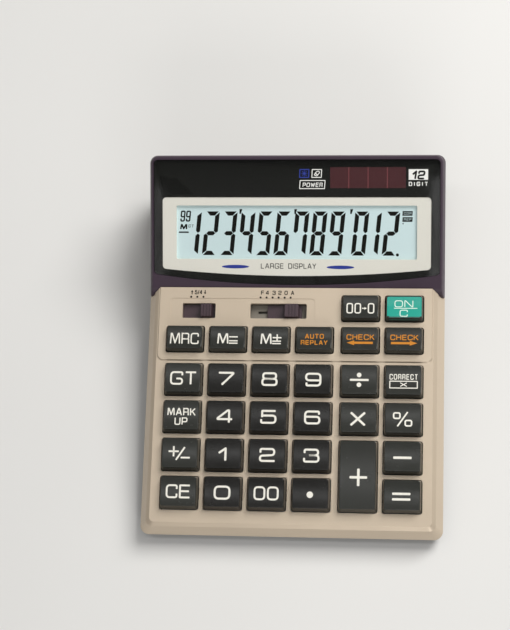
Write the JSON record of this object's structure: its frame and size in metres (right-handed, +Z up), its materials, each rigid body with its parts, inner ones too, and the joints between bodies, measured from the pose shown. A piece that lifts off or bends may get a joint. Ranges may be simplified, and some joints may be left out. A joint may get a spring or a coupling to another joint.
{
  "type": "desk calculator",
  "caption": "Desktop calculator with a wedge base, dished keys in rows, two slide switches, and a hinged display head with a wide liquid crystal display and a solar cell.",
  "frame": {"origin": "middle of the footprint, at the table under the rubber feet", "axes": "+X across the keypad to the user's right, +Y back to the display, +Z up from the table"},
  "size_m": [0.155, 0.1966, 0.0567],
  "materials": {
    "case_upper": "champagne metallic-look plastic, fine texture",
    "case_lower": "dark grey moulded plastic",
    "key_numeral": "warm black satin plastic",
    "key_function": "charcoal satin plastic",
    "key_on": "teal satin plastic",
    "head_purple": "dark plum satin plastic",
    "head_cover": "dark plum moulded plastic",
    "knob": "plum plastic",
    "lens_clear": "clear polished acrylic",
    "lens_mask": "black printed film",
    "frame_cream": "cream plastic",
    "lcd": "liquid crystal glass with a pale reflector behind",
    "solar": "dark maroon amorphous cell",
    "board": "green laminate",
    "chip": "black epoxy",
    "membrane": "pale silicone rubber",
    "feet": "black rubber",
    "strip": "layered conductive rubber",
    "ribbon": "flexible cable film",
    "steel": "zinc-plated steel",
    "spring_steel": "nickel-plated spring steel",
    "cell": "plain wrapped dry cell",
    "switch_body": "black moulded plastic"
  },
  "bodies": {
    "base": {"upper_case": "case_upper", "lower_case": "case_lower", "keypad_membrane": "membrane", "main_board": "board", "chip_blob": "chip", "switch_housings": "switch_body", "battery_cell": "cell", "battery_spring_contact": "spring_steel", "battery_flat_contact": "spring_steel", "rubber_feet": "feet", "case_screws": "steel", "board_screws": "steel", "display_ribbon": "ribbon"},
    "head": {"head_bezel": "head_purple", "head_rear_cover": "head_cover", "head_screws": "steel", "hinge_pins": "steel", "display_lens": "lens_clear", "lens_mask": "lens_mask", "lcd_frame": "frame_cream", "lcd_glass": "lcd", "connector_strips": "strip", "display_board": "board", "solar_cell": "solar"},
    "battery_door": {"battery_door": "case_lower"},
    "rounding_knob": {"rounding_switch_knob": "knob"},
    "decimal_knob": {"decimal_switch_knob": "knob"},
    "key_rate_zero_body": {"key_rate_zero": "key_function"},
    "key_on_clear_body": {"key_on_clear": "key_on"},
    "key_memory_recall_body": {"key_memory_recall": "key_function"},
    "key_memory_equals_body": {"key_memory_equals": "key_function"},
    "key_memory_plus_minus_body": {"key_memory_plus_minus": "key_function"},
    "key_auto_replay_body": {"key_auto_replay": "key_function"},
    "key_check_back_body": {"key_check_back": "key_function"},
    "key_check_forward_body": {"key_check_forward": "key_function"},
    "key_grand_total_body": {"key_grand_total": "key_function"},
    "key_7_body": {"key_7": "key_numeral"},
    "key_8_body": {"key_8": "key_numeral"},
    "key_9_body": {"key_9": "key_numeral"},
    "key_divide_body": {"key_divide": "key_function"},
    "key_correct_body": {"key_correct": "key_function"},
    "key_mark_up_body": {"key_mark_up": "key_function"},
    "key_4_body": {"key_4": "key_numeral"},
    "key_5_body": {"key_5": "key_numeral"},
    "key_6_body": {"key_6": "key_numeral"},
    "key_multiply_body": {"key_multiply": "key_function"},
    "key_percent_body": {"key_percent": "key_function"},
    "key_sign_body": {"key_sign": "key_function"},
    "key_1_body": {"key_1": "key_numeral"},
    "key_2_body": {"key_2": "key_numeral"},
    "key_3_body": {"key_3": "key_numeral"},
    "key_plus_body": {"key_plus": "key_function"},
    "key_minus_body": {"key_minus": "key_function"},
    "key_clear_entry_body": {"key_clear_entry": "key_function"},
    "key_0_body": {"key_0": "key_numeral"},
    "key_00_body": {"key_00": "key_numeral"},
    "key_point_body": {"key_point": "key_numeral"},
    "key_equals_body": {"key_equals": "key_function"}
  },
  "joints": [
    {"name": "head_tilt", "type": "hinge", "parent": "base", "child": "head", "pos_m": [0, 0.03213, 0.02442], "axis": [1, 0, 0], "range_deg": [-17, 25], "deforming": ["display_ribbon"]},
    {"name": "battery_door_slide", "type": "slide", "parent": "base", "child": "battery_door", "axis": [0, 1, 0], "range_m": [0, 0.034]},
    {"name": "rounding_switch_slide", "type": "slide", "parent": "base", "child": "rounding_knob", "axis": [-1, 0, 0], "range_m": [0, 0.0065]},
    {"name": "decimal_switch_slide", "type": "slide", "parent": "base", "child": "decimal_knob", "axis": [-1, 0, 0], "range_m": [0, 0.0165]},
    {"name": "key_rate_zero_press", "type": "slide", "parent": "base", "child": "key_rate_zero_body", "axis": [0, 0.1132, -0.9936], "range_m": [0, 0.0016], "stiffness_N_per_m": 300, "springref_m": -0.0008, "deforming": ["keypad_membrane"]},
    {"name": "key_on_clear_press", "type": "slide", "parent": "base", "child": "key_on_clear_body", "axis": [0, 0.1132, -0.9936], "range_m": [0, 0.0016], "stiffness_N_per_m": 300, "springref_m": -0.0008, "deforming": ["keypad_membrane"]},
    {"name": "key_memory_recall_press", "type": "slide", "parent": "base", "child": "key_memory_recall_body", "axis": [0, 0.1132, -0.9936], "range_m": [0, 0.0016], "stiffness_N_per_m": 300, "springref_m": -0.0008, "deforming": ["keypad_membrane"]},
    {"name": "key_memory_equals_press", "type": "slide", "parent": "base", "child": "key_memory_equals_body", "axis": [0, 0.1132, -0.9936], "range_m": [0, 0.0016], "stiffness_N_per_m": 300, "springref_m": -0.0008, "deforming": ["keypad_membrane"]},
    {"name": "key_memory_plus_minus_press", "type": "slide", "parent": "base", "child": "key_memory_plus_minus_body", "axis": [0, 0.1132, -0.9936], "range_m": [0, 0.0016], "stiffness_N_per_m": 300, "springref_m": -0.0008, "deforming": ["keypad_membrane"]},
    {"name": "key_auto_replay_press", "type": "slide", "parent": "base", "child": "key_auto_replay_body", "axis": [0, 0.1132, -0.9936], "range_m": [0, 0.0016], "stiffness_N_per_m": 300, "springref_m": -0.0008, "deforming": ["keypad_membrane"]},
    {"name": "key_check_back_press", "type": "slide", "parent": "base", "child": "key_check_back_body", "axis": [0, 0.1132, -0.9936], "range_m": [0, 0.0016], "stiffness_N_per_m": 300, "springref_m": -0.0008, "deforming": ["keypad_membrane"]},
    {"name": "key_check_forward_press", "type": "slide", "parent": "base", "child": "key_check_forward_body", "axis": [0, 0.1132, -0.9936], "range_m": [0, 0.0016], "stiffness_N_per_m": 300, "springref_m": -0.0008, "deforming": ["keypad_membrane"]},
    {"name": "key_grand_total_press", "type": "slide", "parent": "base", "child": "key_grand_total_body", "axis": [0, 0.1132, -0.9936], "range_m": [0, 0.0016], "stiffness_N_per_m": 300, "springref_m": -0.0008, "deforming": ["keypad_membrane"]},
    {"name": "key_7_press", "type": "slide", "parent": "base", "child": "key_7_body", "axis": [0, 0.1132, -0.9936], "range_m": [0, 0.0016], "stiffness_N_per_m": 300, "springref_m": -0.0008, "deforming": ["keypad_membrane"]},
    {"name": "key_8_press", "type": "slide", "parent": "base", "child": "key_8_body", "axis": [0, 0.1132, -0.9936], "range_m": [0, 0.0016], "stiffness_N_per_m": 300, "springref_m": -0.0008, "deforming": ["keypad_membrane"]},
    {"name": "key_9_press", "type": "slide", "parent": "base", "child": "key_9_body", "axis": [0, 0.1132, -0.9936], "range_m": [0, 0.0016], "stiffness_N_per_m": 300, "springref_m": -0.0008, "deforming": ["keypad_membrane"]},
    {"name": "key_divide_press", "type": "slide", "parent": "base", "child": "key_divide_body", "axis": [0, 0.1132, -0.9936], "range_m": [0, 0.0016], "stiffness_N_per_m": 300, "springref_m": -0.0008, "deforming": ["keypad_membrane"]},
    {"name": "key_correct_press", "type": "slide", "parent": "base", "child": "key_correct_body", "axis": [0, 0.1132, -0.9936], "range_m": [0, 0.0016], "stiffness_N_per_m": 300, "springref_m": -0.0008, "deforming": ["keypad_membrane"]},
    {"name": "key_mark_up_press", "type": "slide", "parent": "base", "child": "key_mark_up_body", "axis": [0, 0.1132, -0.9936], "range_m": [0, 0.0016], "stiffness_N_per_m": 300, "springref_m": -0.0008, "deforming": ["keypad_membrane"]},
    {"name": "key_4_press", "type": "slide", "parent": "base", "child": "key_4_body", "axis": [0, 0.1132, -0.9936], "range_m": [0, 0.0016], "stiffness_N_per_m": 300, "springref_m": -0.0008, "deforming": ["keypad_membrane"]},
    {"name": "key_5_press", "type": "slide", "parent": "base", "child": "key_5_body", "axis": [0, 0.1132, -0.9936], "range_m": [0, 0.0016], "stiffness_N_per_m": 300, "springref_m": -0.0008, "deforming": ["keypad_membrane"]},
    {"name": "key_6_press", "type": "slide", "parent": "base", "child": "key_6_body", "axis": [0, 0.1132, -0.9936], "range_m": [0, 0.0016], "stiffness_N_per_m": 300, "springref_m": -0.0008, "deforming": ["keypad_membrane"]},
    {"name": "key_multiply_press", "type": "slide", "parent": "base", "child": "key_multiply_body", "axis": [0, 0.1132, -0.9936], "range_m": [0, 0.0016], "stiffness_N_per_m": 300, "springref_m": -0.0008, "deforming": ["keypad_membrane"]},
    {"name": "key_percent_press", "type": "slide", "parent": "base", "child": "key_percent_body", "axis": [0, 0.1132, -0.9936], "range_m": [0, 0.0016], "stiffness_N_per_m": 300, "springref_m": -0.0008, "deforming": ["keypad_membrane"]},
    {"name": "key_sign_press", "type": "slide", "parent": "base", "child": "key_sign_body", "axis": [0, 0.1132, -0.9936], "range_m": [0, 0.0016], "stiffness_N_per_m": 300, "springref_m": -0.0008, "deforming": ["keypad_membrane"]},
    {"name": "key_1_press", "type": "slide", "parent": "base", "child": "key_1_body", "axis": [0, 0.1132, -0.9936], "range_m": [0, 0.0016], "stiffness_N_per_m": 300, "springref_m": -0.0008, "deforming": ["keypad_membrane"]},
    {"name": "key_2_press", "type": "slide", "parent": "base", "child": "key_2_body", "axis": [0, 0.1132, -0.9936], "range_m": [0, 0.0016], "stiffness_N_per_m": 300, "springref_m": -0.0008, "deforming": ["keypad_membrane"]},
    {"name": "key_3_press", "type": "slide", "parent": "base", "child": "key_3_body", "axis": [0, 0.1132, -0.9936], "range_m": [0, 0.0016], "stiffness_N_per_m": 300, "springref_m": -0.0008, "deforming": ["keypad_membrane"]},
    {"name": "key_plus_press", "type": "slide", "parent": "base", "child": "key_plus_body", "axis": [0, 0.1132, -0.9936], "range_m": [0, 0.0016], "stiffness_N_per_m": 300, "springref_m": -0.0008, "deforming": ["keypad_membrane"]},
    {"name": "key_minus_press", "type": "slide", "parent": "base", "child": "key_minus_body", "axis": [0, 0.1132, -0.9936], "range_m": [0, 0.0016], "stiffness_N_per_m": 300, "springref_m": -0.0008, "deforming": ["keypad_membrane"]},
    {"name": "key_clear_entry_press", "type": "slide", "parent": "base", "child": "key_clear_entry_body", "axis": [0, 0.1132, -0.9936], "range_m": [0, 0.0016], "stiffness_N_per_m": 300, "springref_m": -0.0008, "deforming": ["keypad_membrane"]},
    {"name": "key_0_press", "type": "slide", "parent": "base", "child": "key_0_body", "axis": [0, 0.1132, -0.9936], "range_m": [0, 0.0016], "stiffness_N_per_m": 300, "springref_m": -0.0008, "deforming": ["keypad_membrane"]},
    {"name": "key_00_press", "type": "slide", "parent": "base", "child": "key_00_body", "axis": [0, 0.1132, -0.9936], "range_m": [0, 0.0016], "stiffness_N_per_m": 300, "springref_m": -0.0008, "deforming": ["keypad_membrane"]},
    {"name": "key_point_press", "type": "slide", "parent": "base", "child": "key_point_body", "axis": [0, 0.1132, -0.9936], "range_m": [0, 0.0016], "stiffness_N_per_m": 300, "springref_m": -0.0008, "deforming": ["keypad_membrane"]},
    {"name": "key_equals_press", "type": "slide", "parent": "base", "child": "key_equals_body", "axis": [0, 0.1132, -0.9936], "range_m": [0, 0.0016], "stiffness_N_per_m": 300, "springref_m": -0.0008, "deforming": ["keypad_membrane"]}
  ]
}
